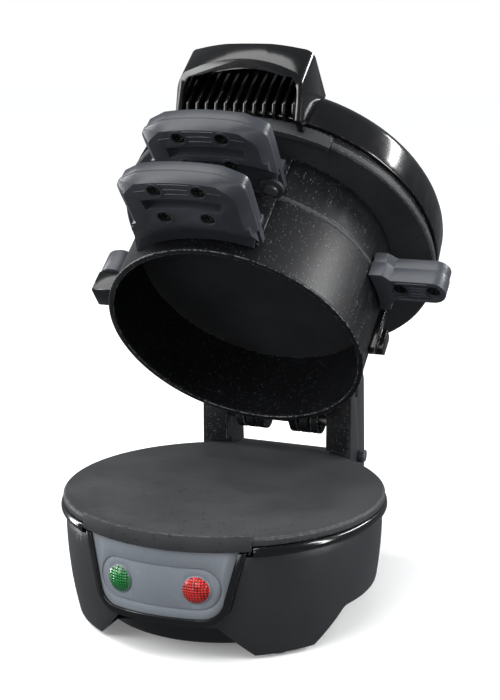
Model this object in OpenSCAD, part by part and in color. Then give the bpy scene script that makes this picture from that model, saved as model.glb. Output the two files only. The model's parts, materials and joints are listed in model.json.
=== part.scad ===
/* [Pose] */
// Angle to which the rings and the cover are raised, degrees
open_angle = 50.3; // [30:0.1:55]
// Hinge pin, distance behind the centre of the base
hinge_y = 65.8; // [63:0.2:68]
// Hinge pin, height above the table
hinge_z = 64.8; // [61:0.2:66]

/* [Base] */
// Radius of the housing at its top
base_r = 66; // [64:0.5:68]
// How far the housing draws in from its top to its legs
base_taper = 5; // [3:0.5:8]
// Height of the housing wall above the table
base_top = 43.4; // [42:0.2:45]
// Underside of the legs above the table
leg_z = 1.6; // [1.5:0.5:3]
// Thickness of the housing wall
wall = 2.4; // [1.8:0.2:3]
// Height of the front arch
front_arch_h = 14.7; // [10:0.5:15]
// Height of the side arches
side_arch_h = 14.8; // [8:0.5:15]
// How far the front arch lies to the right of the middle
arch_shift = 2; // [0:0.5:4]
// Half width of each arch where the legs end
arch_w = 33.5; // [28:0.5:35]
// Radius of the bottom pan
pan_r = 51; // [48:0.5:52]
// Radius of a rubber foot
foot_r = 5.5; // [4:0.5:7]
// Distance of the feet from the centre
foot_ring_r = 54; // [50:0.5:55]

/* [Heating plates] */
// Radius of the lower heating plate
plate_r = 67; // [65:0.5:68]
// Radius of the upper heating plate
cover_plate_r = 71; // [68:0.5:72]
// Thickness of a heating plate at its rim
plate_t = 3.3; // [2.5:0.1:4]
// Cooking face of the lower heating plate above the table
plate_z = 51; // [50.8:0.1:51.4]
// Half angle of the raised lip at the front, degrees
lip_angle = 32; // [28:1:34]
// How far the lip stands above the cooking face
lip_rise = 1.3; // [0.6:0.1:1.4]
// Width of the lip
lip_w = 3; // [2:0.2:3.4]
// Radius of the loop of a heating element
element_loop_r = 40; // [34:1:44]
// Diameter of a heating element
element_d = 6.5; // [5:0.5:7]

/* [Rings] */
// Outer radius of the rings
ring_r = 55; // [53:0.5:56]
// Wall of the rings
ring_wall = 1.6; // [1.2:0.1:2]
// Centre of the rings in front of the centre of the base
ring_y = -5; // [-8:0.5:-4]
// Height of the lower ring
lower_h = 34.3; // [33:0.1:35]
// Height of the upper ring
upper_h = 23; // [22:0.2:24]
// How far the upper ring draws in at its top
upper_taper = 2.2; // [0.5:0.1:2.5]
// Thickness of the cooking plate between the rings
egg_t = 1.5; // [1.2:0.1:2]
// Gap between pieces that rest on each other
rest_gap = 0.3; // [0.2:0.05:0.4]

/* [Ring handles] */
// Half width of a ring handle
grip_w = 26.5; // [24:0.5:28]
// How far a ring handle reaches in front of the rings
grip_reach = 38; // [34:0.5:40]
// Thickness of a ring handle
grip_t = 10; // [9:0.5:13]
// Underside of the lower ring handle above the table, closed
grip_z = 52; // [51.8:0.1:54]
// How much higher the upper ring handle sits
grip_step = 28.3; // [27:0.1:30]
// Half spacing of the handle screws
grip_screw_x = 9; // [7:0.5:11]
// Front row of handle screws, from the front of the rings
front_row_gap = 31.5; // [30:0.5:33]
// Rear row of handle screws, from the front of the rings
rear_row_gap = 17.5; // [16:0.5:19]
// How far the flange of the lower handle lies above its underside
lower_flange = 5.5; // [5:0.1:7]
// How far the flange of the upper handle lies above its underside
upper_flange = 7.3; // [7.1:0.1:8]
// Radius of a handle screw head
screw_head_r = 2.6; // [2:0.1:3]

/* [Cooking plate handle] */
// End of the cooking plate handle, from the centre of the base
egg_grip_end = 84.8; // [82:0.5:92]
// Centre line of the cooking plate handle
egg_grip_y = -10; // [-14:0.5:-8]
// Width of the cooking plate handle
egg_grip_w = 12; // [11:0.5:15]
// Height of the cooking plate handle
egg_grip_h = 12.8; // [11:0.5:15]
// Pivot of the cooking plate, to the right of the centre
pivot_x = 20; // [19:0.5:22]
// Centre of the pivot outside the rings
pivot_gap = 3.52; // [3.2:0.02:4.2]
// Radius of the pivot pin
pivot_r = 1.6; // [1.2:0.1:2]

/* [Cover] */
// Radius of the cover shell at its lower edge
cover_r = 70.8; // [69:0.2:72]
// Height of the cover shell
cover_h = 24.5; // [20:0.5:27]
// Gap between the upper heating plate and the cover shell
cover_reveal = 4.3; // [3:0.1:5]
// Half width of the cover handle
box_w = 27.5; // [25:0.5:30]
// How far the cover handle reaches in front of the cover
box_reach = 17.2; // [14:0.2:19]
// Number of ribs in the cover handle
rib_n = 12; // [6:1:14]
// Thickness of a rib
rib_t = 1.2; // [0.8:0.1:1.6]
// Half width of the slot in the cover handle
box_slot_w = 19; // [15:0.5:22]

/* [Hinge] */
// Half width of the hinge tower
tower_w = 36; // [34:0.5:37]
// Half width of the space between the tower's cheeks
tower_gap = 24; // [23:0.5:25]
// Top of the tower above the table
tower_top = 88; // [84:0.5:88]
// Radius of the hinge pin
pin_r = 2.5; // [2:0.1:3]
// Radial clearance of the hinge pin
pin_fit = 0.05; // [0.02:0.01:0.1]
// Thickness of a hinge arm
arm_t = 4; // [3:0.1:4.2]

/* [Panel] */
// Half width of the indicator panel at its top
panel_w = 31; // [28:0.5:32]
// Lower edge of the panel above the table
panel_z = 18.8; // [18:0.2:21]
// Width of the bezel around the panel
bezel_w = 2.8; // [2:0.2:3.2]
// Half spacing of the two lenses
lens_x = 16; // [13:0.5:18]
// Height of the lenses above the table
lens_z = 30.7; // [30:0.1:33]
// Radius of a lens
lens_r = 5.2; // [4:0.1:6]

/* [Hidden] */
$fn = 96;
e = 0.01;
big = 200;
// heights, closed
mouth_z = plate_z + rest_gap;
seam_z = mouth_z + lower_h;
seam_gap = 0.15;
egg_z = seam_z + seam_gap;
upper_z = egg_z + egg_t + seam_gap;
upper_top = upper_z + upper_h;
cover_plate_z = upper_top + rest_gap;
shell_z = cover_plate_z + plate_t + cover_reveal;
shell_top = shell_z + cover_h;
upper_grip_z = grip_z + grip_step;
trim_z = cover_plate_z + plate_t + 0.05;
// places that follow the rings and the cover
ring_front = ring_r - ring_y;
grip_front = ring_front + grip_reach;
front_row = ring_front + front_row_gap;
rear_row = ring_front + rear_row_gap;
pivot_y = ring_y - sqrt(pow(ring_r + pivot_gap, 2) - pow(pivot_x, 2));
box_front = cover_r + box_reach;
// middle of the open appliance as it stands, from the axis of the base
mid_x = (egg_grip_end - cover_plate_r) / 2;
mid_y = 28.42;
// fits
seat = 0.05;
trim_top = plate_z - plate_t;
trim_bulge = base_r + 2;
tower_cut_r = trim_bulge + 0.4;
floor_t = 2;
foot_h = 3.4;
foot_sink = foot_h - leg_z;
foot_angles = [45, 135, 225, 315];
panel_r = base_r + 0.2;
bezel_r = base_r + 1.4;
panel_side = 27.3;
panel_corner = 8.5;
panel_top = trim_top - 2.2;
steps = 12;
tower_y1 = 79;
tower_low = 12;
upper_r = ring_r - 0.4;
upper_top_r = upper_r - upper_taper;
eye_r = 6.5;
lower_arm_x = 6;
upper_arm_x = lower_arm_x + arm_t + 1;
cover_arm_x = upper_arm_x + arm_t + 1;

// Colours
charcoal = [0.16, 0.16, 0.17];
gloss = [0.05, 0.05, 0.06];
plate_grey = [0.24, 0.24, 0.25];
coat = [0.12, 0.12, 0.13];
slate = [0.33, 0.34, 0.37];
panel_grey = [0.47, 0.49, 0.52];
steel = [0.72, 0.73, 0.75];

// Raises what is drawn closed to the open angle
module raised() {
    translate([0, hinge_y, hinge_z])
        rotate([-open_angle, 0, 0])
            translate([0, -hinge_y, -hinge_z])
                children();
}

// Moves the appliance so that it stands over the middle of its open footprint
module standing() {
    translate([-mid_x, -mid_y, 0])
        children();
}

// Radius of the housing at a height
function base_radius(z) = base_r - base_taper * pow(max(0, (base_top - z) / base_top), 2.2);

// Points of an arc in a plane
function arc(cx, cy, r, a0, a1, n) =
    [for (i = [0:n]) [cx + r * cos(a0 + (a1 - a0) * i / n), cy + r * sin(a0 + (a1 - a0) * i / n)]];

// A sector of a tube between two radii, centred on the front
module front_sector(r_in, r_out, z0, z1, half) {
    translate([0, 0, z0])
        rotate([0, 0, 270 - half])
            rotate_extrude(angle = 2 * half)
                translate([r_in, 0])
                    square([r_out - r_in, z1 - z0]);
}

// An upright tube
module tube(r_out, r_in, h) {
    difference() {
        cylinder(r = r_out, h = h);
        translate([0, 0, -1])
            cylinder(r = r_in, h = h + 2);
    }
}

// Extrudes an outline of [x, z] points along y, from y0 to y1
module along_y(points, y0, y1) {
    translate([0, y1, 0])
        rotate([90, 0, 0])
            linear_extrude(y1 - y0)
                polygon(points);
}

// Extrudes an outline of [y, z] points along x, from x0 to x1
module along_x(points, x0, x1) {
    translate([x0, 0, 0])
        rotate([90, 0, 90])
            linear_extrude(x1 - x0)
                polygon(points);
}

// Draws the children on both sides of the middle plane
module both_sides() {
    children();
    mirror([1, 0, 0])
        children();
}

// A countersunk cross recess screw, head down at z = 0, shank up
module screw(head_r, length) {
    shank_r = head_r * 0.5;
    difference() {
        union() {
            cylinder(r1 = head_r, r2 = shank_r, h = head_r * 0.6);
            cylinder(r = head_r, h = 0.4);
            cylinder(r = shank_r, h = length);
        }
        for (turn = [0, 90])
            rotate([0, 0, turn])
                translate([-head_r * 0.6, -head_r * 0.13, -1])
                    cube([head_r * 1.2, head_r * 0.26, 1 + head_r * 0.35]);
    }
}

// Outline of the panel, larger by m, in x and z
function panel_outline(m, top, up = 0) = concat(
    up > 0 ? [[panel_w + m, top + up]] : [],
    [[panel_w + m, top]],
    arc(panel_side - panel_corner - 1, panel_z + panel_corner, panel_corner + m, -6, -90, 10),
    arc(-(panel_side - panel_corner - 1), panel_z + panel_corner, panel_corner + m, 270, 186, 10),
    [[-(panel_w + m), top]],
    up > 0 ? [[-(panel_w + m), top + up]] : []);

// Outline of an arch opening, in one horizontal axis and z
function arch_outline(h) = concat(
    [[arch_w + 8, -5], [arch_w, leg_z - 1]],
    arc(arch_w - h * 0.72 - 4, h - 4, 4, 35, 90, 5),
    arc(-(arch_w - h * 0.72 - 4), h - 4, 4, 90, 145, 5),
    [[-arch_w, leg_z - 1], [-arch_w - 8, -5]]);

module base_solid(inset, z0, z1) {
    rotate_extrude()
        polygon(concat(
            [[0, z0]],
            [for (i = [0:steps]) [base_radius(z0 + (z1 - z0) * i / steps) - inset, z0 + (z1 - z0) * i / steps]],
            [[0, z1]]));
}

module base_housing() {
    color(charcoal)
    standing()
    difference() {
        base_solid(0, leg_z, base_top);
        difference() {
            base_solid(wall, leg_z + floor_t, base_top + 1);
            // bosses for the base screws, inside the legs
            for (a = foot_angles)
                rotate([0, 0, a])
                    translate([foot_ring_r, 0, 0])
                        cylinder(r = foot_r - 1, h = leg_z + floor_t + 4);
        }
        translate([0, 0, -1])
            cylinder(r = pan_r - 4, h = leg_z + floor_t + 2);
        // seat of the bottom pan
        translate([0, 0, leg_z + floor_t - 1])
            cylinder(r = pan_r + seat, h = 1 + e);
        translate([arch_shift, 0, 0])
            along_y(arch_outline(front_arch_h), -big, big);
        along_x(arch_outline(side_arch_h), -big, big);
        // opening behind the panel
        along_y(panel_outline(bezel_w + seat, panel_top, 4), -big, -40);
        // wires into the hinge tower
        translate([0, base_r, 32])
            rotate([90, 0, 0])
                cylinder(r = 5, h = 12, center = true);
        for (a = foot_angles)
            rotate([0, 0, a])
                translate([foot_ring_r, 0, 0]) {
                    cylinder(r = foot_r - 2 + seat, h = leg_z + foot_sink);
                    cylinder(r = 1.5, h = 12);
                }
    }
}

module trim_ring() {
    color(gloss)
    standing()
    difference() {
        rotate_extrude()
            polygon(concat(
                [[base_r - wall, base_top + seat], [base_r + 0.2, base_top + seat]],
                arc(trim_bulge - 2.2, (base_top + trim_top) / 2, 2.2, -60, 60, 6),
                [[base_r - wall, trim_top - seat]]));
        // the panel and the lip of the plate stand in this gap
        along_y(panel_outline(bezel_w + seat, panel_top, 4), -big, -30);
        front_sector(20, big, base_top - 1, trim_top + 1, lip_angle + 0.4);
    }
}

// A heating plate, cooking face at z = 0, body upwards
module heating_plate(r) {
    difference() {
        rotate_extrude()
            polygon([[0, 0], [r - 0.8, 0], [r, 0.8], [r, plate_t - 0.4], [r - 0.4, plate_t],
                [element_loop_r + 9, plate_t], [element_loop_r + 8, plate_t + 2],
                [element_loop_r - 8, plate_t + 2], [element_loop_r - 9, plate_t], [0, plate_t]]);
        // groove in which the element lies
        translate([0, 0, plate_t + element_d / 2])
            rotate_extrude()
                translate([element_loop_r, 0])
                    circle(r = element_d / 2 + seat);
        // seat of the lip
        front_sector(r - lip_w - seat, r + 1, -1, plate_t + 1, lip_angle + 0.1);
    }
}

// The raised lip at the front of a heating plate
module plate_lip(r, lip_drop) {
    front_sector(r - lip_w, r + 0.4, -lip_rise, plate_t + lip_drop, lip_angle);
}

// A heating element lying on the back of a plate whose face is at z = 0
module element() {
    gap = 40;
    translate([0, 0, plate_t + element_d / 2]) {
        rotate([0, 0, 90 + gap / 2])
            rotate_extrude(angle = 360 - gap)
                translate([element_loop_r, 0])
                    circle(r = element_d / 2);
        for (s = [-1, 1])
            rotate([0, 0, 90 + s * (gap / 2 + 4)])
                translate([element_loop_r, 0, 0.6])
                    cylinder(r = element_d / 4, h = element_d / 2 + 5);
    }
}

module lower_plate() {
    color(plate_grey)
    standing()
        translate([0, 0, plate_z])
            mirror([0, 0, 1])
                heating_plate(plate_r);
}

module lower_lip() {
    color(plate_grey)
    standing()
        translate([0, 0, plate_z])
            mirror([0, 0, 1])
                plate_lip(plate_r, 1.7);
}

module lower_element() {
    color(steel)
    standing()
        translate([0, 0, plate_z])
            mirror([0, 0, 1])
                element();
}

shield_z = plate_z - plate_t - element_d - 2.2;

module base_heat_shield() {
    color(steel)
    standing()
    difference() {
        union() {
            translate([0, 0, shield_z])
                cylinder(r = 54, h = 0.8);
            translate([0, 0, shield_z])
                tube(54, 53.2, 5);
        }
        for (s = [-1, 1])
            rotate([0, 0, 90 + s * 24])
                translate([element_loop_r, 0, shield_z - 1])
                    cylinder(r = 4, h = 8);
        for (a = [30, 150, 270])
            rotate([0, 0, a])
                translate([26, 0, shield_z - 1])
                    cylinder(r = 3.2, h = 4);
        translate([0, 0, shield_z - 1])
            cylinder(r = 11, h = 4);
    }
}

module plate_posts() {
    color(steel)
    standing()
    for (a = [30, 150, 270])
        rotate([0, 0, a])
            translate([26, 0, leg_z + floor_t + 1.2])
                cylinder(r = 3, h = plate_z - plate_t - leg_z - floor_t - 1.2 - seat);
}

module base_thermostat() {
    color([0.75, 0.72, 0.62])
    standing()
    translate([0, 0, plate_z - plate_t - 12 - seat]) {
        cylinder(r = 8, h = 12);
        for (s = [-1, 1])
            translate([s * 4, 0, -6])
                translate([-0.4, -3, 0])
                    cube([0.8, 6, 6.01]);
    }
}

module thermal_fuse() {
    color([0.85, 0.84, 0.8])
    standing()
    translate([-7, 20, plate_z - plate_t - 2.2])
        rotate([0, 90, 0])
            union() {
                cylinder(r = 2.1, h = 14);
                translate([0, 0, -8])
                    cylinder(r = 0.5, h = 30);
            }
}

module bottom_pan() {
    z = leg_z + floor_t - 1 + seat;
    color(gloss)
    standing()
    difference() {
        union() {
            translate([0, 0, z])
                cylinder(r = pan_r, h = 2);
            translate([0, 0, z])
                tube(pan_r, pan_r - 2, 8);
        }
        // openings that let air in under the plate
        for (a = [0:30:330])
            rotate([0, 0, a])
                translate([34, -2, z - 1])
                    cube([10, 4, 4]);
        for (a = foot_angles)
            rotate([0, 0, a])
                translate([foot_ring_r, 0, z - 1])
                    cylinder(r = foot_r - 1 + seat, h = 12);
    }
}

module rubber_feet() {
    color([0.3, 0.3, 0.31])
    standing()
    for (a = foot_angles)
        rotate([0, 0, a])
            translate([foot_ring_r, 0, 0])
                difference() {
                    union() {
                        cylinder(r1 = foot_r - 0.6, r2 = foot_r, h = 0.8);
                        translate([0, 0, 0.8])
                            cylinder(r = foot_r, h = leg_z - 0.8);
                        cylinder(r = foot_r - 2, h = foot_h);
                    }
                    translate([0, 0, -1])
                        cylinder(r = 2.6, h = 1.9);
                    translate([0, 0, 0.89])
                        cylinder(r1 = 2.6, r2 = 1.4, h = 1.5);
                    cylinder(r = 1.4, h = 10);
                }
}

module base_screws() {
    color(steel)
    standing()
    for (a = foot_angles)
        rotate([0, 0, a])
            translate([foot_ring_r, 0, 0.45])
                screw(2.4, 9);
}

module panel_bezel() {
    color(gloss)
    standing()
    intersection() {
        translate([0, 0, 0])
            tube(bezel_r, base_r - 4, base_top + 2);
        difference() {
            along_y(panel_outline(bezel_w, panel_top), -big, -40);
            along_y(panel_outline(0, panel_top, 1), -big, -30);
        }
    }
}

// A long rounded outline around both lenses
module pill(r) {
    translate([0, -40, 0])
        rotate([90, 0, 0])
            linear_extrude(60)
                polygon(concat(arc(lens_x + 1, lens_z, r, -90, 90, 12), arc(-lens_x - 1, lens_z, r, 90, 270, 12)));
}

module indicator_panel() {
    color(panel_grey)
    standing()
    difference() {
        intersection() {
            tube(panel_r, panel_r - 2.6, base_top + 2);
            along_y(panel_outline(-seat, panel_top), -big, -40);
        }
        for (s = [-1, 1])
            at_lens(s)
                cylinder(r = lens_r + seat, h = 20, center = true);
        // shallow groove around both lenses
        intersection() {
            tube(panel_r + 1, panel_r - 0.35, base_top + 2);
            difference() {
                pill(8.6);
                pill(7.8);
            }
        }
    }
}

// Places the children at a lens, with z pointing out of the panel
module at_lens(s) {
    turn = s * asin(lens_x / panel_r);
    rotate([0, 0, turn])
        translate([0, -panel_r, lens_z])
            rotate([90, 0, 0])
                children();
}

module lens(s) {
    dome = 1.6;
    dome_r = (lens_r * lens_r + dome * dome) / (2 * dome);
    at_lens(s)
        union() {
            intersection() {
                translate([0, 0, dome - dome_r + 0.6])
                    sphere(r = dome_r);
                cylinder(r = lens_r, h = 6);
            }
            translate([0, 0, -5])
                cylinder(r = lens_r, h = 5.61);
            translate([0, 0, -5])
                cylinder(r = lens_r + 1, h = 1.8);
        }
}

module green_lens() {
    color([0.1, 0.6, 0.25])
    standing()
        lens(-1);
}

module red_lens() {
    color([0.85, 0.1, 0.1])
    standing()
        lens(1);
}

module lamp_holders() {
    color([0.85, 0.82, 0.75])
    standing()
    for (s = [-1, 1])
        at_lens(s) {
            translate([0, 0, -11 - seat])
                cylinder(r = lens_r + 0.6, h = 6);
            translate([0, 0, -17])
                cylinder(r = 2, h = 6);
        }
}

module tower_cheek() {
    front_r = 10;
    back_r = 6;
    along_x(concat(
        [[58.5, tower_low], [58.5, tower_top - front_r]],
        arc(58.5 + front_r, tower_top - front_r, front_r, 180, 90, 8),
        arc(tower_y1 - 2.5 - back_r, tower_top - back_r, back_r, 90, 5, 6),
        [[tower_y1, 48], [tower_y1, tower_low]]), tower_gap, tower_w);
}

module hinge_tower() {
    color(charcoal)
    standing()
    difference() {
        union() {
            both_sides()
                tower_cheek();
            // block between the cheeks
            translate([-tower_gap - 1, 58.5, tower_low])
                cube([2 * tower_gap + 2, tower_y1 - 58.5, 36]);
        }
        // stands behind the round of the base
        base_solid(-seat, 0, base_top + e);
        translate([0, 0, base_top])
            cylinder(r = tower_cut_r, h = plate_z - base_top + 1.5);
        // inside of the block, closed by the back cover
        translate([-tower_w + 3, 68.8, tower_low + 3])
            cube([2 * tower_w - 6, 20, 28]);
        // bore of the hinge pin
        translate([-tower_w + 3, hinge_y, hinge_z])
            rotate([0, 90, 0])
                cylinder(r = pin_r + pin_fit, h = 2 * tower_w - 6);
        // oblong slots in the outer faces
        both_sides()
            along_x(concat(arc(hinge_y, tower_top - 4.6, 2.1, 0, 180, 10),
                arc(hinge_y, tower_top - 9.3, 2.1, 180, 360, 10)), tower_w - 6, tower_w + 1);
        // coated strips cover the fronts of the cheeks
        both_sides()
            translate([tower_gap - 1, 58, 52.5])
                cube([tower_w - tower_gap - 0.3, 1.3, tower_top - 10 - 52.5]);
        // wires from the base
        translate([0, 66, 32])
            rotate([90, 0, 0])
                cylinder(r = 5, h = 20, center = true);
    }
}

module tower_strips() {
    color(coat)
    standing()
    both_sides()
        translate([tower_gap + 0.2, 58.5, 52.6])
            cube([tower_w - tower_gap - 1.6, 0.75, tower_top - 10 - 52.8]);
}

// Grey lugs at the foot of the tower on which the rings rest when they are lifted off
module tower_lugs() {
    color([0.35, 0.36, 0.38])
    standing()
    both_sides()
        along_x([[67.5, 46], [71, 46], [72.5, 48], [72.5, 51], [69.5, 51], [67.5, 49]], tower_w + seat, tower_w + 3.4);
}

module tower_back_cover() {
    color(charcoal)
    standing()
    difference() {
        translate([-tower_w + 3.2, tower_y1 - 2.4, tower_low + 3.2])
            cube([2 * tower_w - 6.4, 2.4, 27.6]);
        translate([0, tower_y1, 24])
            rotate([90, 0, 0])
                cylinder(r = 4.2 + seat, h = 12, center = true);
        for (s = [-1, 1])
            translate([s * 24, tower_y1, 30])
                rotate([90, 0, 0]) {
                    cylinder(r = 1.5, h = 12, center = true);
                    translate([0, 0, -e])
                        cylinder(r1 = 2.6, r2 = 1.5, h = 1.5);
                }
    }
}

module tower_screws() {
    color(steel)
    standing()
    for (s = [-1, 1])
        translate([s * 24, tower_y1 + 0.4, 30])
            rotate([90, 0, 0])
                screw(2.4, 9);
}

module rear_bumpers() {
    color([0.35, 0.36, 0.38])
    standing()
    both_sides()
        along_x([[tower_y1 + seat, 40], [tower_y1 + 5, 41.5], [tower_y1 + 6.5, 44], [tower_y1 + 5, 46.5],
            [tower_y1 + seat, 47]], tower_w - 7, tower_w - 1);
}

module cord_inlet() {
    color(gloss)
    standing()
    translate([0, tower_y1, 24])
        rotate([90, 0, 0])
            difference() {
                union() {
                    translate([0, 0, -4])
                        cylinder(r1 = 4.6, r2 = 5.4, h = 4 - seat);
                    cylinder(r = 4.2, h = 2.4);
                    translate([0, 0, 2.4 + seat])
                        cylinder(r = 5.2, h = 1.6);
                    translate([0, 0, 2.2])
                        cylinder(r = 4.2, h = 0.6);
                }
                translate([0, 0, -6])
                    cylinder(r = 3.3, h = 14);
            }
}

module hinge_pin() {
    color(steel)
    standing()
    translate([-tower_w + 3.5, hinge_y, hinge_z])
        rotate([0, 90, 0])
            cylinder(r = pin_r, h = 2 * tower_w - 7);
}

// A ring wall with a turned rim at its lower mouth
module ring_wall_shape(z, h, r_low, r_high, rim) {
    translate([0, ring_y, z])
        rotate_extrude()
            polygon([[r_low - ring_wall - rim, 0], [r_low + rim, 0], [r_low + rim, 1.4],
                [r_low - (r_low - r_high) * 2.2 / h, 2.2],
                [r_high, h], [r_high - ring_wall, h], [r_low - ring_wall, 2.4], [r_low - ring_wall - rim, 1.6]]);
}

module lower_ring() {
    color(coat)
    standing()
    raised()
        ring_wall_shape(mouth_z, lower_h, ring_r, ring_r, 0.4);
}

module upper_ring() {
    color(coat)
    standing()
    raised()
        ring_wall_shape(upper_z, upper_h, upper_r, upper_top_r, 0);
}

// One hinge arm: an eye on the pin and a plate of the given [y, z] outline
module hinge_arm(x, points) {
    along_x(points, x, x + arm_t);
    translate([x, hinge_y, hinge_z])
        rotate([0, 90, 0])
            cylinder(r = eye_r, h = arm_t);
}

module arm_bore() {
    translate([-tower_gap, hinge_y, hinge_z])
        rotate([0, 90, 0])
            cylinder(r = pin_r + pin_fit, h = 2 * tower_gap);
}

// A curved pad that joins a pair of arms to a ring wall
module ring_pad(z0, z1, half, t, r0, r1) {
    translate([0, ring_y, 0])
        rotate([0, 0, 90 - half])
            rotate_extrude(angle = 2 * half)
                polygon([[r0 + seat, z0], [r0 + t, z0], [r1 + t, z1], [r1 + seat, z1]]);
}

module lower_ring_bracket() {
    color(coat)
    standing()
    raised()
        difference() {
            union() {
                ring_pad(mouth_z + 4, seam_z - 4, 14, 2, ring_r, ring_r);
                both_sides()
                    hinge_arm(lower_arm_x, [[ring_y + ring_r + 0.6, hinge_z - 5], [hinge_y, hinge_z - eye_r],
                        [hinge_y, hinge_z + eye_r], [ring_y + ring_r + 0.6, seam_z - 6]]);
            }
            arm_bore();
        }
}

module upper_ring_bracket() {
    color(coat)
    standing()
    raised()
        difference() {
            union() {
                ring_pad(upper_z + 3, upper_top - 3, 17, 2, upper_r - 0.3, upper_top_r + 0.3);
                both_sides()
                    hinge_arm(upper_arm_x, [[hinge_y - eye_r, hinge_z], [hinge_y + eye_r, hinge_z],
                        [hinge_y + 5, upper_z + 6], [hinge_y, upper_z + 14], [ring_y + upper_r - 1.2, upper_z + 17],
                        [ring_y + upper_r - 1.2, upper_z + 5], [hinge_y - eye_r, upper_z + 3.5]]);
            }
            // follows the ring wall
            translate([0, ring_y, upper_z])
                cylinder(r1 = upper_r + seat, r2 = upper_top_r + seat, h = upper_h);
            arm_bore();
        }
}

// Outline of a ring handle from above, in x and y, drawn in by mx at the sides and my at the front
function grip_outline(mx, my) = concat(
    [[grip_w - 1 - mx, 5 - ring_front], [grip_w - mx, -grip_front + 14]],
    arc(grip_w - 4.5 - mx, -grip_front + 9 + my, 4.5, 0, -70, 5),
    arc(0, 0, grip_front - my, 270 + 10, 270 - 10, 8),
    arc(-(grip_w - 4.5 - mx), -grip_front + 9 + my, 4.5, 250, 180, 5),
    [[-(grip_w - mx), -grip_front + 14], [-(grip_w - 1 - mx), 5 - ring_front]]);

flange_outline = [[-32, 10 - ring_front], [-30.5, 3 - ring_front], [-26.5, -6 - ring_front], [-25.4, -11 - ring_front],
    [24.6, -11 - ring_front], [23.2, -6 - ring_front], [20.6, 3 - ring_front], [20.2, 10 - ring_front]];
grip_half = 5;
riser_y = -(ring_front + 8.5);
riser_t = 2.5;
flange_t = 2.5;
flange_h = 13;
strap_t = 1.6;

module grip_slab(z0, z1, mx, my) {
    translate([0, 0, z0])
        linear_extrude(z1 - z0)
            polygon(grip_outline(mx, my));
}

// Keeps what lies between two distances along y
module between(y0, y1) {
    intersection() {
        children();
        translate([-big / 2, y0, -big / 2])
            cube([big, y1 - y0, big]);
    }
}

module flange_slab(z0, z1) {
    translate([0, 0, z0])
        linear_extrude(z1 - z0)
            polygon(flange_outline);
}

// Room for the ring wall and the strap; z counts from the underside of the handle
module ring_room(rise, r0, r1, h) {
    translate([0, ring_y, -5])
        cylinder(r = r0 + 0.35, h = rise + 6.4);
    translate([0, ring_y, rise + 1.4])
        cylinder(r1 = r0 + strap_t + 0.1, r2 = r1 + strap_t + 0.1, h = h);
}

// Places the children at the handle screws
module at_grip_screws() {
    for (sx = [-1, 1])
        for (y = [-front_row, -rear_row])
            translate([sx * grip_screw_x, y, 0])
                children();
}

// Lower half of a ring handle: bevelled underside, slot, screw wells and flange
module grip_bottom(rise, r0, r1, slope_r) {
    difference() {
        union() {
            // sloped step from the underside up to the flange
            intersection() {
                union() {
                    flange_slab(0, rise + 0.5);
                    grip_slab(0, grip_half, 1.6, 0);
                }
                translate([0, ring_y, 0])
                    rotate_extrude()
                        polygon([[slope_r, rise], [slope_r + 9, 0], [slope_r + 12, 0], [slope_r + 12, rise + 0.5],
                            [slope_r, rise + 0.5]]);
            }
            between(-big / 2, riser_y)
                hull() {
                    grip_slab(0, 0.4, 3.6, 2);
                    grip_slab(3.6, grip_half, 0, 0);
                }
            between(riser_y - riser_t, riser_y)
                grip_slab(2.4, rise + flange_t, 1.6, 0);
            between(riser_y - riser_t, 0)
                flange_slab(rise, rise + flange_t);
            at_grip_screws()
                translate([0, 0, -0.3])
                    cylinder(r = screw_head_r + 1.1, h = 2);
        }
        ring_room(rise, r0, r1, 30);
        // the underside ends where the slope begins
        translate([0, ring_y, 0])
            rotate_extrude()
                polygon([[0, -2], [slope_r + 9, -2], [slope_r + 9, 0], [slope_r, rise], [0, rise]]);
        // curved recess across the handle
        translate([0, 0, -1])
            linear_extrude(4.6)
                polygon(concat(
                    arc(0, 0, front_row - 4, 270 - 11, 270 + 11, 8),
                    arc(0, 0, rear_row + 5, 270 + 11, 270 - 11, 8)));
        at_grip_screws() {
            translate([0, 0, -2])
                cylinder(r = screw_head_r + 0.2, h = 2.8);
            cylinder(r = screw_head_r * 0.5 + seat, h = 12);
            translate([0, 0, 0.8])
                cylinder(r1 = screw_head_r + 0.2, r2 = screw_head_r * 0.5 + seat, h = 1.9);
        }
    }
}

// Upper half of a ring handle
module grip_top(rise, r0, r1) {
    difference() {
        union() {
            between(-big / 2, riser_y - riser_t - seat)
                grip_slab(grip_half + seat, grip_t, 0.4, 0.4);
            between(riser_y - riser_t - seat, 0)
                grip_slab(rise + flange_t + seat, rise + flange_t + 3, 2, 0.5);
            between(riser_y - riser_t - seat - 3, riser_y - riser_t)
                grip_slab(rise + flange_t + seat, rise + flange_t + 3, 2, 0.5);
            intersection() {
                flange_slab(rise + flange_t + seat, rise + flange_h);
                translate([0, ring_y, 0])
                    cylinder(r = ring_r + 6, h = big);
            }
        }
        ring_room(rise, r0, r1, 30);
        at_grip_screws()
            cylinder(r = screw_head_r * 0.5 + seat, h = grip_t - 1);
    }
}

module grip_screws() {
    at_grip_screws()
        translate([0, 0, 0.5])
            screw(screw_head_r, 8.4);
}

// Steel strap that carries a ring handle, against the ring wall
module grip_strap(z0, z1, r0, r1) {
    translate([0, ring_y, 0])
        rotate([0, 0, 270 - 23])
            rotate_extrude(angle = 46)
                polygon([[r0 + seat, z0], [r0 + strap_t, z0], [r1 + strap_t, z1], [r1 + seat, z1]]);
}

module lower_grip_strap() {
    color([0.3, 0.3, 0.32])
    standing()
    raised()
        grip_strap(grip_z + lower_flange + 1.5, seam_z - 2, ring_r, ring_r);
}

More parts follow.
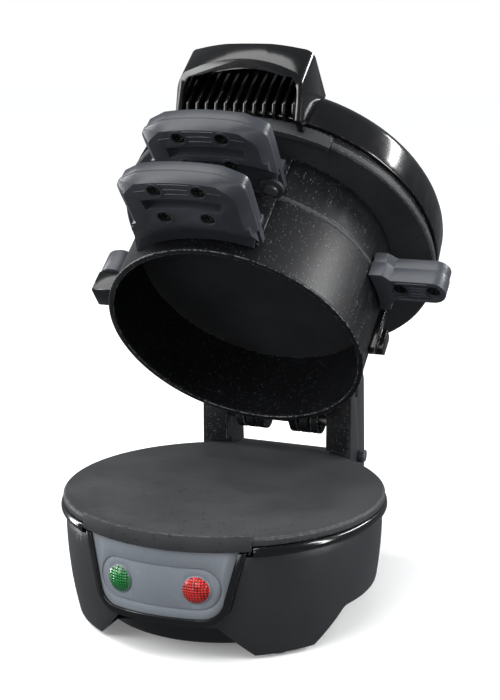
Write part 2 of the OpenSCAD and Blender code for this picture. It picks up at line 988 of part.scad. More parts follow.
module upper_grip_strap() {
    color([0.3, 0.3, 0.32])
    standing()
    raised()
        difference() {
            grip_strap(upper_z + 2, upper_top - 2, upper_r - 0.15, upper_top_r + 0.25);
            translate([pivot_x, pivot_y, upper_z])
                cylinder(r = pivot_r + 0.3, h = 12);
            translate([0, ring_y, upper_z])
                cylinder(r1 = upper_r + 0.02, r2 = upper_top_r + 0.02, h = upper_h);
        }
}

module lower_grip_bottom() {
    color(slate)
    standing()
    raised()
        translate([0, 0, grip_z])
            grip_bottom(lower_flange, ring_r, ring_r, ring_r + 5);
}

module lower_grip_top() {
    color(slate)
    standing()
    raised()
        translate([0, 0, grip_z])
            grip_top(lower_flange, ring_r, ring_r);
}

module lower_grip_screws() {
    color(steel)
    standing()
    raised()
        translate([0, 0, grip_z])
            grip_screws();
}

module upper_grip_bottom() {
    color(slate)
    standing()
    raised()
        difference() {
            translate([0, 0, upper_grip_z])
                grip_bottom(upper_flange, upper_r, upper_r, ring_r + 11);
            translate([pivot_x, pivot_y, seam_z - 6])
                cylinder(r = pivot_r + pin_fit, h = 30);
        }
}

module upper_grip_top() {
    color(slate)
    standing()
    raised()
        difference() {
            translate([0, 0, upper_grip_z])
                grip_top(upper_flange, upper_r, upper_r);
            translate([pivot_x, pivot_y, seam_z - 6])
                cylinder(r = pivot_r + pin_fit, h = 18);
        }
}

module upper_grip_screws() {
    color(steel)
    standing()
    raised()
        translate([0, 0, upper_grip_z])
            grip_screws();
}

module plate_pivot_pin() {
    color(steel)
    standing()
    raised()
        translate([pivot_x, pivot_y, seam_z - 1.2]) {
            cylinder(r = pivot_r + 1.2, h = 1.2);
            cylinder(r = pivot_r, h = 10);
        }
}

module left_guide_block() {
    color(gloss)
    standing()
    raised()
        difference() {
            translate([-ring_r - 8.5, -23.5, mouth_z + 6.8])
                cube([14, 10.5, 10.7]);
            translate([0, ring_y, 0])
                cylinder(r = ring_r + seat, h = big);
        }
}

module left_guide_cap() {
    color(slate)
    standing()
    raised()
        difference() {
            translate([-ring_r - 2.8, -18, mouth_z + 17.5 + seat])
                union() {
                    cylinder(r = 7, h = 11);
                    translate([0, 0, 11])
                        cylinder(r1 = 7, r2 = 5, h = 2);
                }
            translate([0, ring_y, 0])
                cylinder(r = ring_r + seat, h = big);
        }
}

module right_guide() {
    color(gloss)
    standing()
    raised()
        difference() {
            union() {
                intersection() {
                    translate([0, ring_y, mouth_z + 8])
                        rotate([0, 0, 9.5])
                            rotate_extrude(angle = 14)
                                translate([ring_r - 1, 0])
                                    square([3.6, 26]);
                    translate([ring_r - 15, 4.5, mouth_z + 21.6])
                        rotate([0, 90, 0])
                            cylinder(r = 12, h = 30);
                }
                along_x([[12.5, mouth_z + 16], [16, mouth_z + 15.5], [18.5, mouth_z + 17], [18.5, mouth_z + 25],
                    [17, mouth_z + 26.5], [12.5, mouth_z + 26.5]], ring_r - 5, ring_r + 2);
            }
            translate([0, ring_y, 0])
                cylinder(r = ring_r + seat, h = big);
        }
}

module cooking_plate() {
    color(plate_grey)
    standing()
    raised()
        difference() {
            union() {
                translate([0, ring_y, egg_z])
                    cylinder(r = ring_r, h = egg_t);
                // ear on the pivot pin
                translate([pivot_x, pivot_y, egg_z])
                    cylinder(r = 5, h = egg_t);
                // tang inside the handle
                translate([40, egg_grip_y - 5, egg_z])
                    cube([38, 10, egg_t]);
            }
            translate([pivot_x, pivot_y, egg_z - 1])
                cylinder(r = pivot_r + pin_fit, h = 4);
            for (x = egg_screw_x)
                translate([x, egg_grip_y, egg_z - 1])
                    cylinder(r = 1.5, h = 4);
        }
}

egg_screw_x = [65.5, 79.4];
egg_grip_z = egg_z - 5.75;
egg_grip_mid = egg_z + egg_t;

// Space of the cooking plate handle between two heights
module egg_grip_body(z0, z1, m) {
    half = egg_grip_w / 2;
    end = egg_grip_end - half;
    difference() {
        translate([0, egg_grip_y, z0])
            linear_extrude(z1 - z0)
                polygon(concat(
                    [[40, -9 + m], [59.4 - m, -9 + m], [60.6 - m, -8 + m], [62.6, -half + m]],
                    arc(end, 0, half - m, -90, 90, 16),
                    [[62.6, half - m], [60.4 - m, half + 3], [59.6 - m, half + 6.5 - m], [40, half + 6.5 - m]]));
        translate([0, ring_y, 0])
            cylinder(r = ring_r + 0.6, h = big);
    }
}

module egg_grip_bottom() {
    color(slate)
    standing()
    raised()
        difference() {
            egg_grip_body(egg_grip_z, egg_grip_mid, 0);
            // seat of the tang
            translate([40, egg_grip_y - 5 - seat, egg_z - seat])
                cube([38 + seat, 10 + 2 * seat, egg_t + 2]);
            for (x = egg_screw_x)
                translate([x, egg_grip_y, egg_grip_z - 1]) {
                    cylinder(r = screw_head_r + 0.8, h = 2);
                    translate([0, 0, 2])
                        cylinder(r1 = screw_head_r + 0.4, r2 = screw_head_r * 0.5 + seat, h = 2);
                    cylinder(r = screw_head_r * 0.5 + seat, h = 12);
                }
            // shallow grooves between the screws
            for (dy = [-3.6, 3])
                translate([62, egg_grip_y + dy, egg_grip_z - 1])
                    cube([20, 0.7, 1.6]);
        }
}

module egg_grip_top() {
    color(slate)
    standing()
    raised()
        difference() {
            egg_grip_body(egg_grip_mid + seat, egg_grip_z + egg_grip_h, 0.4);
            for (x = egg_screw_x)
                translate([x, egg_grip_y, egg_grip_z])
                    cylinder(r = screw_head_r * 0.5 + seat, h = 12);
        }
}

module egg_grip_screws() {
    color(steel)
    standing()
    raised()
        for (x = egg_screw_x)
            translate([x, egg_grip_y, egg_grip_z + 1])
                screw(screw_head_r, 9);
}

// Outline of the cover shell, larger by m
function cover_profile(m) = concat(
    [[cover_r + m, shell_z], [cover_r - 0.8 + m, shell_z + 12.5]],
    arc(cover_r - 11.8, shell_top - 12, 11 + m, 0, 80, 8),
    [[30, shell_top - 0.5 + m], [0, shell_top + m]]);

module cover_shell() {
    color(gloss)
    standing()
    raised()
        difference() {
            rotate_extrude()
                polygon(concat([[0, shell_z]], cover_profile(0)));
            difference() {
                translate([0, 0, -0.02])
                    rotate_extrude()
                        polygon(concat([[0, shell_z - 1], [cover_r - wall, shell_z - 1]], cover_profile(-wall)));
                // bosses that hold the upper heating plate
                for (a = [45, 135, 225, 315])
                    rotate([0, 0, a])
                        translate([54, 0, shell_z])
                            cylinder(r = 4, h = cover_h);
            }
            for (a = [45, 135, 225, 315])
                rotate([0, 0, a])
                    translate([54, 0, shell_z - 1])
                        cylinder(r = 1.3, h = 14);
        }
}

box_top = shell_top - 1.8;
box_wall = 2.4;
box_back = 10.8 - cover_r;
rib_front = -(cover_r + 4.7);
box_slot_y = cover_r + 7.4;
box_slot_a = asin(box_slot_w / box_slot_y);

// Outline of the cover handle from above, drawn in by m and starting at y = back
function box_outline(m, back) = concat(
    [[box_w - m, back]],
    arc(box_w - 5 - m, -box_front + 8 + m / 2, 5, 0, -65, 5),
    arc(0, 0, box_front - m, 270 + 12, 270 - 12, 10),
    arc(-(box_w - 5 - m), -box_front + 8 + m / 2, 5, 245, 180, 5),
    [[-(box_w - m), back]]);

module cover_grip() {
    color(gloss)
    standing()
    raised()
        difference() {
            union() {
                intersection() {
                    difference() {
                        linear_extrude(big)
                            polygon(box_outline(0, box_back + 10));
                        // hollow inside, open downwards
                        translate([0, 0, -5])
                            linear_extrude(box_top - box_wall + 5)
                                polygon(box_outline(box_wall, box_back + 20));
                    }
                    along_x([[box_back, 112], [-(cover_r + 1.8), 112], [-box_front - 1, 132.5],
                        [-box_front - 1, box_top - 1.2], [-box_front + 0.6, box_top], [box_back, box_top]],
                        -box_w - 1, box_w + 1);
                }
                // ribs
                for (i = [1:rib_n])
                    translate([-box_w + i * 2 * box_w / (rib_n + 1) - rib_t / 2, 0, 0])
                        along_x([[box_back, 115.5], [-(cover_r + 1.7), 115.5], [rib_front, 118.5],
                            [rib_front, box_top - 4.5], [rib_front + 2, box_top - 1], [box_back, box_top - 1]],
                            0, rib_t);
            }
            // curved slot through the top wall
            translate([0, 0, box_top - 4])
                linear_extrude(8)
                    polygon(concat(
                        arc(0, 0, box_slot_y + 1.8, 270 - box_slot_a, 270 + box_slot_a, 8),
                        arc(0, 0, box_slot_y - 1.8, 270 + box_slot_a, 270 - box_slot_a, 8)));
            // fits around the cover and its heating plate
            rotate_extrude()
                polygon(concat([[0, shell_z - 9], [cover_plate_r + 0.7, shell_z - 9], [cover_plate_r + 0.7, shell_z - 1]],
                    cover_profile(seat)));
        }
}

module upper_plate() {
    color(plate_grey)
    standing()
    raised()
        translate([0, 0, cover_plate_z])
            heating_plate(cover_plate_r);
}

module upper_lip() {
    color(plate_grey)
    standing()
    raised()
        translate([0, 0, cover_plate_z])
            plate_lip(cover_plate_r, 1.5);
}

// Dark ring between the upper heating plate and the shell
module cover_trim() {
    color(coat)
    standing()
    raised()
        translate([0, 0, trim_z])
            difference() {
                tube(cover_r - 1.6, cover_r - 5, shell_z - trim_z - seat);
                front_sector(20, big, -1, 1.6, lip_angle + 0.4);
            }
}

module upper_element() {
    color(steel)
    standing()
    raised()
        translate([0, 0, cover_plate_z])
            element();
}

cover_shield_z = cover_plate_z + plate_t + element_d + seat;

module cover_heat_shield() {
    color(steel)
    standing()
    raised()
        difference() {
            translate([0, 0, cover_shield_z])
                cylinder(r = 48, h = 0.8);
            for (s = [-1, 1])
                rotate([0, 0, 90 + s * 24])
                    translate([element_loop_r, 0, cover_shield_z - 1])
                        cylinder(r = 4, h = 8);
            translate([0, 0, cover_shield_z - 1])
                cylinder(r = 11, h = 4);
        }
}

module cover_thermostat() {
    color([0.75, 0.72, 0.62])
    standing()
    raised()
        translate([0, 0, cover_plate_z + plate_t + seat])
            cylinder(r = 8, h = 11);
}

module cover_arms() {
    color(coat)
    standing()
    raised()
        difference() {
            both_sides()
                hinge_arm(cover_arm_x, [[hinge_y - eye_r, hinge_z], [hinge_y + eye_r, hinge_z],
                    [78.5, upper_top - 6], [78.5, shell_z + 11], [76, shell_z + 14], [64, shell_z + 14],
                    [64, shell_z + 1.5], [71, shell_z + 1.5], [71, upper_top - 4], [hinge_y - eye_r + 1, upper_z - 4]]);
            rotate_extrude()
                polygon(concat([[0, shell_z - 5], [cover_r + seat, shell_z - 5]], cover_profile(seat)));
            arm_bore();
        }
}

module cover_screws() {
    color(steel)
    standing()
    raised()
        for (a = [45, 135, 225, 315])
            rotate([0, 0, a])
                translate([54, 0, cover_plate_z + plate_t + seat])
                    cylinder(r = 1.25, h = 12);
}

base_housing();
trim_ring();
lower_plate();
lower_lip();
lower_element();
base_heat_shield();
plate_posts();
base_thermostat();
thermal_fuse();
bottom_pan();
rubber_feet();
base_screws();
panel_bezel();
indicator_panel();
green_lens();
red_lens();
lamp_holders();
hinge_tower();
tower_strips();
tower_lugs();
tower_back_cover();
tower_screws();
rear_bumpers();
cord_inlet();
hinge_pin();
lower_ring();
lower_ring_bracket();
lower_grip_strap();
lower_grip_bottom();
lower_grip_top();
lower_grip_screws();
left_guide_block();
left_guide_cap();
right_guide();
upper_ring();
upper_ring_bracket();
upper_grip_strap();
upper_grip_bottom();
upper_grip_top();
upper_grip_screws();
plate_pivot_pin();
cooking_plate();
egg_grip_bottom();
egg_grip_top();
egg_grip_screws();
cover_shell();
cover_grip();
upper_plate();
upper_lip();
cover_trim();
upper_element();
cover_heat_shield();
cover_thermostat();
cover_arms();
cover_screws();
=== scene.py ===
import json
import math
import bmesh
import bpy
from mathutils import Matrix, Vector


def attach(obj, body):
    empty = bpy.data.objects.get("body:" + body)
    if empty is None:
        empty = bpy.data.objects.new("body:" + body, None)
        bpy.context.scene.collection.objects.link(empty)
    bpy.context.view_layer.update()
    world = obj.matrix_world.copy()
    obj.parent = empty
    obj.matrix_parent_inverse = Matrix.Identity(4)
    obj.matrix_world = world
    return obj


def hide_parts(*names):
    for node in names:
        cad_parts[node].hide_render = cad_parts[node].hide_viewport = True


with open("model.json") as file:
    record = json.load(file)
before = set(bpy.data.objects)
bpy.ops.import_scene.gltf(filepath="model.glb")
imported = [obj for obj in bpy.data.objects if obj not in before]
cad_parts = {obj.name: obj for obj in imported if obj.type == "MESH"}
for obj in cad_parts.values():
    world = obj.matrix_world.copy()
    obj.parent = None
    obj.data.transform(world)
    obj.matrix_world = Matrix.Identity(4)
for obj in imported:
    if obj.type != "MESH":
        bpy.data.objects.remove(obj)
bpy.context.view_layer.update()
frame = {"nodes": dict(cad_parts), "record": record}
NODES = frame["nodes"]
BODY_OF = {n: b for b, ns in frame["record"]["behaviour"]["bodies"].items() for n in ns}
SLOT_OF = {s["node"]: s["material_slot"] for s in frame["record"]["subparts"]}

# Pieces made here are laid out in millimetres with everything closed and the base's axis at
# x = y = 0. RAISED opens them to their place at rest, and MESH_UNITS takes them to metres
# about the part's origin, which is under the middle of its box.
MM = 0.001
OPEN = math.radians(50.3)
HINGE = Vector((0, 65.8, 64.8))
MIDDLE = Vector((6.9, 28.42, 0))
RAISED = Matrix.Translation(HINGE) @ Matrix.Rotation(-OPEN, 4, "X") @ Matrix.Translation(-HINGE)
MESH_UNITS = Matrix.Scale(MM, 4) @ Matrix.Translation(-MIDDLE)

# Marks the rounded faces of a dressed piece, for the wear and the painted highlight on its edges.
EDGE_LAYER = "edge"


# ---------------------------------------------------------------- materials
class S:
    """A shader socket with arithmetic."""

    def __init__(self, mat, socket):
        self.mat = mat
        self.socket = socket

    def _math(self, operation, *values):
        return self.mat.node("ShaderNodeMath", {"operation": operation}, dict(enumerate(values)))

    def __add__(self, o): return self._math("ADD", self, o)
    def __radd__(self, o): return self._math("ADD", o, self)
    def __sub__(self, o): return self._math("SUBTRACT", self, o)
    def __mul__(self, o): return self._math("MULTIPLY", self, o)
    def __gt__(self, o): return self._math("GREATER_THAN", self, o)
    def __lt__(self, o): return self._math("LESS_THAN", self, o)

    def sin(self): return self._math("SINE", self)

    def smooth(self, low, high):
        """0 below low, 1 above high, and a soft step between."""
        return self.mat.node("ShaderNodeMapRange", {"interpolation_type": "SMOOTHSTEP"},
                             {"Value": self, "From Min": low, "From Max": high}, "Result")


class Mat:
    """A node material built step by step."""

    def __init__(self, name, rough, **constants):
        self.m = bpy.data.materials.new(name)
        self.m.use_nodes = True
        self.tree = self.m.node_tree
        self.bsdf = self.tree.nodes["Principled BSDF"]
        self.bsdf.inputs["Roughness"].default_value = rough
        for key, value in constants.items():
            self.bsdf.inputs[key.replace("_", " ")].default_value = value
        self.coords = self.node("ShaderNodeTexCoord", out="Object")

    def feed(self, socket, value):
        """Sets a socket to a number or colour, or links a value to it."""
        if isinstance(value, S):
            self.tree.links.new(value.socket, socket)
        elif isinstance(value, tuple):
            socket.default_value = (*value, 1)
        else:
            socket.default_value = value

    def node(self, kind, settings=None, sockets=None, out=0):
        """Adds a node with its settings, feeds its sockets, and gives one of its outputs."""
        n = self.tree.nodes.new(kind)
        for key, value in (settings or {}).items():
            setattr(n, key, value)
        for key, value in (sockets or {}).items():
            self.feed(n.inputs[key], value)
        return S(self, n.outputs[out])

    def noise(self, scale, detail):
        sockets = {"Vector": self.coords, "Scale": scale, "Detail": detail}
        return self.node("ShaderNodeTexNoise", None, sockets, "Fac")

    def cells(self, scale):
        """Distance to the nearest of scattered points, and a random value for it."""
        sockets = {"Vector": self.coords, "Scale": scale}
        near = self.node("ShaderNodeTexVoronoi", None, sockets, "Distance")
        colour = S(self, near.socket.node.outputs["Color"])
        return near, self.node("ShaderNodeSeparateColor", None, {0: colour})

    def wear_and_edge_highlight(self, scale, low, high):
        """Broken patches along the rounded edges: partly wear, partly a painted highlight."""
        edge = self.node("ShaderNodeAttribute", {"attribute_name": EDGE_LAYER}, None, "Fac")
        return edge * self.noise(scale, 3).smooth(low, high)

    def axis(self, i):
        return self.node("ShaderNodeSeparateXYZ", None, {0: self.coords}, i)

    def mix(self, factor, a, b):
        """Blends two colours."""
        return self.node("ShaderNodeMix", {"data_type": "RGBA"}, {0: factor, 6: a, 7: b}, 2)

    def look(self, colour, rough, height, depth):
        """Feeds the shader its colour, its roughness and a bump."""
        self.feed(self.bsdf.inputs["Base Color"], colour)
        self.feed(self.bsdf.inputs["Roughness"], rough)
        bump = self.node("ShaderNodeBump", None, {"Distance": depth, "Height": height}, "Normal")
        self.feed(self.bsdf.inputs["Normal"], bump)
        return self.m


def times(colour, factor, lift=0.0):
    return tuple(factor * c + lift for c in colour)


def moulded(name, dark, light, rough, grain, edge=None, **constants):
    """Moulded plastic or metal: a fine grain, slow changes of tone, lighter edges that are partly
    wear and partly a painted highlight.
    """
    m = Mat(name, rough, **constants)
    slow, fine, smear = m.noise(28, 4), m.noise(2600, 2), m.noise(160, 5)
    colour = m.mix(slow.smooth(0.35, 0.65), dark, light)
    colour = m.mix(smear.smooth(0.62, 0.8) * 0.35, colour, times(light, 1.5))
    # Lighter rounded edges in the edge colour: partly wear, partly a painted highlight.
    colour = m.mix(m.wear_and_edge_highlight(420, 0.45, 0.62) * 0.6, colour, edge or times(light, 2.0, 0.01))
    uneven = rough - 0.06 + slow * 0.08 + smear * 0.05 + fine * 0.04
    return m.look(colour, uneven, fine + slow * 0.4, grain)


SECOND_SCALE, SECOND_SIZE = 0.47, 0.6
COATING_GRAIN = 0.00004


def coated(name, dark, dot, edge, rough, amount, size, scale):
    """Non-stick coating: nearly black, with small and large light specks scattered over it."""
    m = Mat(name, rough, Specular_IOR_Level=0.35)
    near_small, pick_small = m.cells(scale)
    near_large, pick_large = m.cells(scale * SECOND_SCALE)
    small = (near_small < size) * (pick_small > 1 - amount)
    large = (near_large < size * SECOND_SIZE) * (pick_large > 0.8)
    slow = m.noise(35, 4)
    colour = m.mix(slow.smooth(0.3, 0.7), dark, times(dark, 1.5))
    colour = m.mix(small * pick_small, colour, dot)
    colour = m.mix(large * 0.7, colour, times(dot, 1.6))
    # Lighter rounded edges in the edge colour: partly wear of the coating, partly a painted
    # highlight.
    colour = m.mix(m.wear_and_edge_highlight(700, 0.45, 0.6) * 0.7, colour, edge)
    uneven = rough + small * -0.12 + slow * 0.1
    return m.look(colour, uneven, m.noise(1800, 3) + small * 0.3, COATING_GRAIN)


DIAMOND_PITCH, DIAMOND_DEPTH = 0.0021, 0.00012


def lamp(name, dark, light):
    """Coloured lamp lens with a moulded diamond pattern inside."""
    m = Mat(name, 0.12, Coat_Weight=0.5, Coat_Roughness=0.05)
    x, z = m.axis(0), m.axis(2)
    turn = 2 * math.pi / DIAMOND_PITCH
    waves = ((x + z) * turn).sin() * ((x - z) * turn).sin()
    cloud = m.noise(300, 3)
    colour = m.mix((waves * 0.5 + cloud).smooth(0.15, 0.9), dark, light)
    return m.look(colour, 0.1 + cloud * 0.12, waves, DIAMOND_DEPTH)


# Each edge colour is for the lighter rounded edges: partly wear, partly a painted highlight.
MATS = {
    "housing": moulded("housing_plastic", dark=(0.022, 0.0225, 0.0245),
                       light=(0.027, 0.0275, 0.0305), rough=0.38, grain=0.00004),
    "gloss_black": moulded("gloss_plastic", dark=(0.0035, 0.0035, 0.004),
                           light=(0.005, 0.005, 0.0055), rough=0.13, grain=0.000004,
                           edge=(0.03, 0.03, 0.033), Specular_IOR_Level=0.6),
    "slate_plastic": moulded("slate_plastic", dark=(0.03, 0.0325, 0.04),
                             light=(0.048, 0.052, 0.063), rough=0.34, grain=0.00005),
    "plate_handle": moulded("plate_handle_plastic", dark=(0.045, 0.05, 0.06),
                            light=(0.06, 0.066, 0.078), rough=0.36, grain=0.00004),
    "panel_grey": moulded("panel_plastic", dark=(0.2, 0.22, 0.25),
                          light=(0.22, 0.24, 0.27), rough=0.26, grain=0.00001),
    "coated_metal": coated("coated_metal", dark=(0.005, 0.0052, 0.006), dot=(0.14, 0.155, 0.18),
                           edge=(0.22, 0.23, 0.24), rough=0.4, amount=0.35, size=0.23, scale=1150),
    "heating_plate": coated("plate_coating", dark=(0.03, 0.031, 0.033), dot=(0.012, 0.012, 0.013),
                            edge=(0.1, 0.105, 0.11), rough=0.55, amount=0.12, size=0.3, scale=700),
    "foot_rubber": moulded("foot_rubber", dark=(0.12, 0.125, 0.135),
                           light=(0.14, 0.145, 0.155), rough=0.7, grain=0.00004),
    "green_lamp": lamp("green_lamp", dark=(0.0, 0.05, 0.008), light=(0.008, 0.24, 0.045)),
    "red_lamp": lamp("red_lamp", dark=(0.16, 0.0, 0.0), light=(0.72, 0.03, 0.025)),
    "dark_screw": moulded("dark_screw", dark=(0.02, 0.02, 0.02),
                          light=(0.035, 0.035, 0.035), rough=0.3, grain=0.00001, Metallic=0.9),
    "bright_steel": moulded("bright_steel", dark=(0.5, 0.51, 0.52),
                            light=(0.58, 0.59, 0.6), rough=0.3, grain=0.00001, Metallic=1.0),
    "ceramic_white": moulded("ceramic_white", dark=(0.7, 0.68, 0.62),
                             light=(0.75, 0.73, 0.68), rough=0.6, grain=0.00002),
}


# ---------------------------------------------------------------- the solids, dressed
def add_object(name, mesh):
    obj = bpy.data.objects.new(name, mesh)
    bpy.context.scene.collection.objects.link(obj)
    return obj


def mesh_of(name, bm):
    """Ends a mesh under construction, smooth all over."""
    for f in bm.faces:
        f.smooth = True
    mesh = bpy.data.meshes.new(name)
    bm.to_mesh(mesh)
    bm.free()
    return mesh


def finish_piece(obj, body, slot, *nodes):
    obj.data.materials.clear()
    obj.data.materials.append(MATS[slot])
    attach(obj, body)
    if nodes:
        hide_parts(*nodes)


WELD = 2e-6
FLAT = math.radians(1.5)
BEVELLED_FROM = math.radians(33)
BEVEL_STEPS = 2
CREASED_FROM = math.radians(32)


def dress(node, width):
    """The solid of a node with its sharp edges rounded over."""
    bm = bmesh.new()
    bm.from_mesh(NODES[node].data)
    bmesh.ops.remove_doubles(bm, verts=bm.verts, dist=WELD)
    bmesh.ops.dissolve_limit(bm, angle_limit=FLAT, verts=bm.verts, edges=bm.edges)
    layer = bm.faces.layers.float.new(EDGE_LAYER)
    sharp = [e for e in bm.edges if len(e.link_faces) == 2 and e.calc_face_angle() > BEVELLED_FROM]
    made = bmesh.ops.bevel(bm, geom=sharp, offset=width * MM, segments=BEVEL_STEPS, profile=0.5,
                           affect="EDGES", clamp_overlap=True, offset_type="OFFSET")
    # The rounded faces get the lighter edge colour: partly wear, partly a painted highlight.
    for f in made["faces"]:
        f[layer] = 1
    mesh = mesh_of(node + "_dressed", bm)
    mesh.set_sharp_from_angle(angle=CREASED_FROM)
    finish_piece(add_object(node + "_dressed", mesh), BODY_OF[node], SLOT_OF[node], node)


# How far each node's edges are rounded, in millimetres. The nodes left out keep their own edges.
BEVELS = {
    "base_housing": 0.8, "trim_ring": 0.3, "lower_plate": 0.4, "panel_bezel": 0.5,
    "indicator_panel": 0.25, "hinge_tower": 1.0, "lower_lip": 0.3, "upper_lip": 0.3,
    "tower_lugs": 0.6, "tower_strips": 0.2, "rear_bumpers": 0.8, "tower_back_cover": 0.5,
    "rubber_feet": 0.3, "bottom_pan": 0.3, "cord_inlet": 0.3,
    "lower_ring": 0.35, "upper_ring": 0.3, "lower_ring_bracket": 0.4, "upper_ring_bracket": 0.4,
    "lower_grip_bottom": 0.5, "lower_grip_top": 0.8, "upper_grip_bottom": 0.5,
    "upper_grip_top": 0.8, "lower_grip_strap": 0.3, "upper_grip_strap": 0.3,
    "left_guide_block": 0.8, "left_guide_cap": 0.8, "right_guide": 0.6, "cooking_plate": 0.3,
    "egg_grip_bottom": 0.7, "egg_grip_top": 0.9,
    "cover_shell": 0.8, "cover_grip": 0.6, "upper_plate": 0.5, "cover_trim": 0.3,
    "cover_arms": 0.5,
    "lower_grip_screws": 0.12, "upper_grip_screws": 0.12, "egg_grip_screws": 0.12,
}
for node, width in BEVELS.items():
    dress(node, width)
for node, obj in NODES.items():
    if node not in BEVELS:
        for slot in obj.material_slots:
            slot.material = MATS[SLOT_OF[node]]


# ---------------------------------------------------------------- ribs and lens rims
MADE_CREASED_FROM = math.radians(40)
DOWN = (0, 0, -1)

# Section of a bead, as shares of its width and height, with its foot sunk into the face it is on.
BEAD_SECTION = ((-0.5, -0.6), (-0.5, 0.4), (-0.28, 0.9), (0.28, 0.9), (0.5, 0.4), (0.5, -0.6))
ARC_STEPS = 10
RING_STEPS = 48


def new_piece(name, bm, body, slot):
    """A piece from a mesh made in closed millimetres, raised to its place at rest."""
    bmesh.ops.recalc_face_normals(bm, faces=bm.faces)
    mesh = mesh_of(name, bm)
    if body != "base":
        mesh.transform(RAISED)
    mesh.transform(MESH_UNITS)
    mesh.set_sharp_from_angle(angle=MADE_CREASED_FROM)
    finish_piece(add_object(name, mesh), body, slot)


def bead(bm, width, height, place, along, up):
    """The end face of a low rounded bead, looking along a direction."""
    side = Vector(along).cross(Vector(up)).normalized()
    return bm.faces.new([
        bm.verts.new(Vector(place) + side * (u * width) + Vector(up) * (v * height))
        for u, v in BEAD_SECTION])


def straight_bead(bm, start, end, width, height):
    """A straight bead between two points, on a face that looks down."""
    run = Vector(end) - Vector(start)
    face = bead(bm, width, height, start, run, DOWN)
    made = bmesh.ops.extrude_face_region(bm, geom=[face], use_keep_orig=True)
    far_end = [v for v in made["geom"] if isinstance(v, bmesh.types.BMVert)]
    bmesh.ops.translate(bm, vec=run, verts=far_end)


def curved_bead(bm, radius, centre_x, half, z, width, height):
    """A bead on a circle about the middle, at the front, on a face that looks down."""
    first, last = (math.asin((centre_x + s * half) / radius) for s in (-1, 1))
    place = Vector((radius * math.sin(first), -radius * math.cos(first), z))
    face = bead(bm, width, height, place, (math.cos(first), math.sin(first), 0), DOWN)
    bmesh.ops.spin(bm, geom=[face, *face.edges, *face.verts], cent=(0, 0, 0), axis=(0, 0, 1),
                   angle=last - first, steps=ARC_STEPS, use_duplicate=False)


def ring_bead(bm, centre, radius, out, along, width, height):
    """A bead all the way round a circle that faces out."""
    face = bead(bm, width, height, centre + along * radius, out.cross(along), out)
    edges, verts = list(face.edges), list(face.verts)
    bmesh.ops.delete(bm, geom=[face], context="FACES_ONLY")
    bmesh.ops.spin(bm, geom=[*edges, *verts], cent=centre, axis=out, angle=2 * math.pi,
                   steps=RING_STEPS, use_merge=True)


# Under the plate's handle: four short ribs between two long ones.
HANDLE_UNDERSIDE = 80.0
SHORT_RIB = {"start_x": 70.2, "end_x": 75, "width": 0.55, "height": 0.35}
LONG_RIB = {"start_x": 64.5, "end_x": 77.5, "width": 0.6, "height": 0.4}
HANDLE_RIBS = [(y, SHORT_RIB) for y in (-12.6, -11.0, -9.0, -7.4)]
HANDLE_RIBS += [(y, LONG_RIB) for y in (-5.1, -14.9)]
ribs = bmesh.new()
for y, rib in HANDLE_RIBS:
    straight_bead(ribs, (rib["start_x"], y, HANDLE_UNDERSIDE), (rib["end_x"], y, HANDLE_UNDERSIDE),
                  rib["width"], rib["height"])
new_piece("plate_handle_ribs", ribs, "swing_plate", "plate_handle")

# Under each ring's grip, as radius, centre in x, half length, width and height.
GRIP_UNDERSIDE = {"lower": 52.0, "upper": 80.3}
GRIP_RIBS = (
    (95.2, 0, 6.5, 0.45, 0.35),
    (92.3, -15.3, 2.7, 0.45, 0.35),
    (92.3, 15.3, 2.7, 0.45, 0.35),
    (90.2, 0, 5.0, 0.6, 0.4),
    (92.6, 0, 5.0, 0.6, 0.4),
)
for level, underside in GRIP_UNDERSIDE.items():
    ribs = bmesh.new()
    for radius, centre_x, half, width, height in GRIP_RIBS:
        curved_bead(ribs, radius, centre_x, half, underside, width, height)
    new_piece(level + "_grip_ribs", ribs, level + "_ring_assembly", "slate_plastic")

# Round each lens on the indicator panel, which is part of a cylinder about the base's axis.
PANEL_R, LENS_X, LENS_Z, LENS_R = 66.2, 16.0, 30.7, 5.2
RIM_INSET, RIM_WIDTH, RIM_HEIGHT = 0.1, 0.9, 0.6
for side, name in ((-1, "green_lens"), (1, "red_lens")):
    lean = side * math.asin(LENS_X / PANEL_R)
    out = Vector((math.sin(lean), -math.cos(lean), 0))
    along = Vector((math.cos(lean), math.sin(lean), 0))
    rim = bmesh.new()
    ring_bead(rim, out * PANEL_R + Vector((0, 0, LENS_Z)), LENS_R - RIM_INSET, out, along,
              RIM_WIDTH, RIM_HEIGHT)
    new_piece(name + "_rim", rim, "base", "panel_grey")


# ---------------------------------------------------------------- stage, light and camera
FLOOR_HALF = 6
FLOOR_WHITE = (0.95, 0.95, 0.95)
FLOOR_GLOW = 0.13
paper = Mat("floor_paper", 0.8, Emission_Color=(1, 1, 1, 1), Emission_Strength=FLOOR_GLOW)
paper.feed(paper.bsdf.inputs["Base Color"], FLOOR_WHITE)
sheet = bmesh.new()
bmesh.ops.create_grid(sheet, x_segments=1, y_segments=1, size=FLOOR_HALF)
floor_mesh = bpy.data.meshes.new("floor")
sheet.to_mesh(floor_mesh)
sheet.free()
floor_mesh.materials.append(paper.m)
floor = add_object("floor", floor_mesh)
floor.visible_diffuse = False
floor.visible_glossy = False

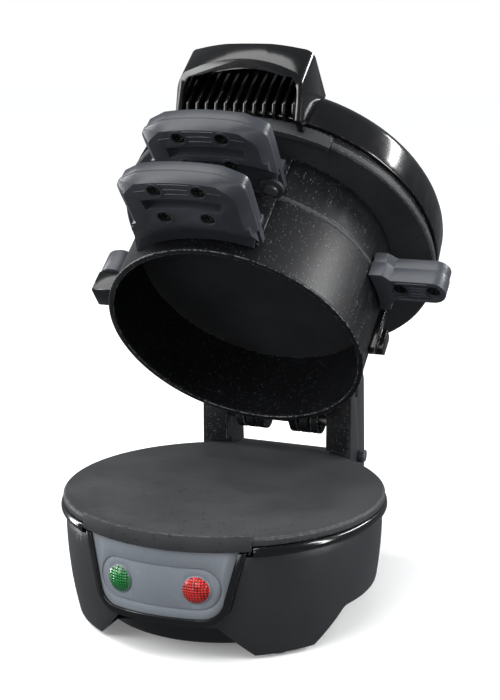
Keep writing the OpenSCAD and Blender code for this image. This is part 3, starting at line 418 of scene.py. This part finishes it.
# The camera sees a white backdrop, and the part is lit by a dimmer one.
BACKDROP = ((1, 1, 1, 1), 1.0)
AMBIENT = ((0.9, 0.95, 1, 1), 0.2)
bpy.context.scene.view_settings.view_transform = "Standard"
world = bpy.data.worlds.new("studio")
world.use_nodes = True
tree = world.node_tree
backdrop = tree.nodes["Background"]
ambient = tree.nodes.new("ShaderNodeBackground")
for background, (colour, strength) in ((backdrop, BACKDROP), (ambient, AMBIENT)):
    background.inputs["Color"].default_value = colour
    background.inputs["Strength"].default_value = strength
light_path = tree.nodes.new("ShaderNodeLightPath")
choose = tree.nodes.new("ShaderNodeMixShader")
tree.links.new(light_path.outputs["Is Camera Ray"], choose.inputs[0])
tree.links.new(ambient.outputs[0], choose.inputs[1])
tree.links.new(backdrop.outputs[0], choose.inputs[2])
tree.links.new(choose.outputs[0], tree.nodes["World Output"].inputs[0])
bpy.context.scene.world = world


def aim(obj, direction):
    """Turns a light or camera to look along a direction."""
    obj.rotation_mode = "QUATERNION"
    obj.rotation_quaternion = direction.to_track_quat("-Z", "Y")


# Place and size in metres, power in watts.
LIT_POINT = Vector((0, 0, 0.11))
PANEL_LIGHTS = {
    "key": ((-0.75, -0.9, 0.55), (0.3, 0.9), 7),
    "front_fill": ((0.35, -1.3, 0.35), (0.5, 0.5), 2.5),
    "left_strip": ((-0.95, 0.1, 0.3), (0.16, 1.0), 8),
    "right_strip": ((1.0, 0.0, 0.3), (0.1, 1.0), 9),
    "rear_strip": ((0.75, 0.75, 0.75), (0.9, 0.1), 9),
}


def panel_light(name, place, size, power):
    """A rectangular light that looks at the middle of the part."""
    data = bpy.data.lights.new(name, "AREA")
    data.shape = "RECTANGLE"
    data.size, data.size_y = size
    data.energy = power
    light = add_object(name, data)
    light.location = place
    aim(light, LIT_POINT - Vector(place))


SKY_POWER = 2.7
SKY_SPREAD = math.radians(60)
SKY_DIRECTION = Vector((0.3, 0.35, -1))
sky_data = bpy.data.lights.new("soft_sky", "SUN")
sky_data.energy = SKY_POWER
sky_data.angle = SKY_SPREAD
aim(add_object("soft_sky", sky_data), SKY_DIRECTION)
for name, (place, size, power) in PANEL_LIGHTS.items():
    panel_light(name, place, size, power)

# Camera place and target in metres from the base's axis.
CAMERA_PLACE = Vector((0.2232, -0.5144, 0.2306))
CAMERA_TARGET = Vector((0.011, 0.0012, 0.1094))
LENS_MM, SENSOR_MM = 72, 36
CLIP = (0.01, 20)
camera_data = bpy.data.cameras.new("camera")
camera_data.lens, camera_data.sensor_width = LENS_MM, SENSOR_MM
camera_data.clip_start, camera_data.clip_end = CLIP
camera = add_object("camera", camera_data)
camera.location = CAMERA_PLACE - MIDDLE * MM
aim(camera, CAMERA_TARGET - CAMERA_PLACE)
bpy.context.scene.camera = camera
